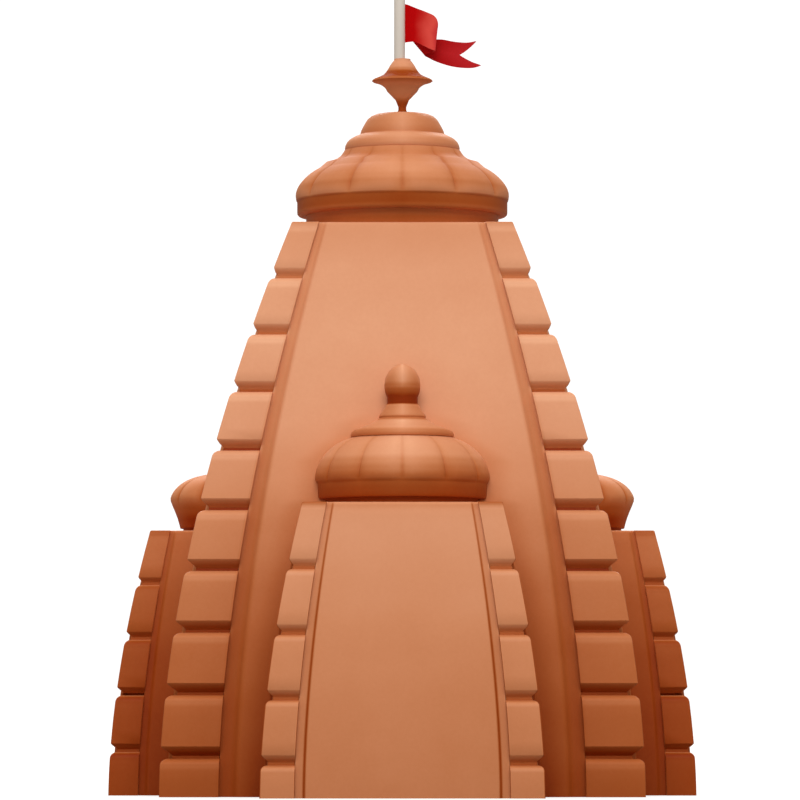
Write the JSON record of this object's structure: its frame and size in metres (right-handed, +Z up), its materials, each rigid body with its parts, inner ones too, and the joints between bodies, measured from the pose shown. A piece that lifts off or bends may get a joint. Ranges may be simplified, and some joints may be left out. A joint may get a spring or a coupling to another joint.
{
  "type": "temple tower with engaged small spires",
  "caption": "Square stone temple tower with curved faces and stacked corner columns, a small engaged spire on each face, ribbed crowns, a turned finial and a swallow-tailed flag.",
  "frame": {"origin": "on the ground under the middle of the tower", "axes": "+Z up, -Y out of the front, +X the way the flag flies"},
  "size_m": [11.48, 12.58, 16.1363],
  "materials": {
    "wall_stone": "satin",
    "column_stone": "satin",
    "carved_stone": "satin",
    "pole_paint": "satin",
    "flag_cloth": "matte"
  },
  "bodies": {
    "root": {"back_spire_core": "wall_stone", "back_spire_corner_left": "column_stone", "back_spire_corner_right": "column_stone", "back_spire_crown": "carved_stone", "back_spire_finial": "carved_stone", "back_spire_neck": "carved_stone", "back_spire_tier": "carved_stone", "crown": "carved_stone", "crown_cap": "carved_stone", "crown_tier": "carved_stone", "finial": "carved_stone", "flag": "flag_cloth", "flagpole": "pole_paint", "front_spire_core": "wall_stone", "front_spire_corner_left": "column_stone", "front_spire_corner_right": "column_stone", "front_spire_crown": "carved_stone", "front_spire_finial": "carved_stone", "front_spire_neck": "carved_stone", "front_spire_tier": "carved_stone", "left_spire_core": "wall_stone", "left_spire_corner_left": "column_stone", "left_spire_corner_right": "column_stone", "left_spire_crown": "carved_stone", "left_spire_finial": "carved_stone", "left_spire_neck": "carved_stone", "left_spire_tier": "carved_stone", "main_corner_back_left": "column_stone", "main_corner_back_right": "column_stone", "main_corner_front_left": "column_stone", "main_corner_front_right": "column_stone", "main_wall_back": "wall_stone", "main_wall_front": "wall_stone", "main_wall_left": "wall_stone", "main_wall_right": "wall_stone", "neck": "carved_stone", "right_spire_core": "wall_stone", "right_spire_corner_left": "column_stone", "right_spire_corner_right": "column_stone", "right_spire_crown": "carved_stone", "right_spire_finial": "carved_stone", "right_spire_neck": "carved_stone", "right_spire_tier": "carved_stone", "shoulder_slab": "wall_stone"}
  },
  "joints": []
}
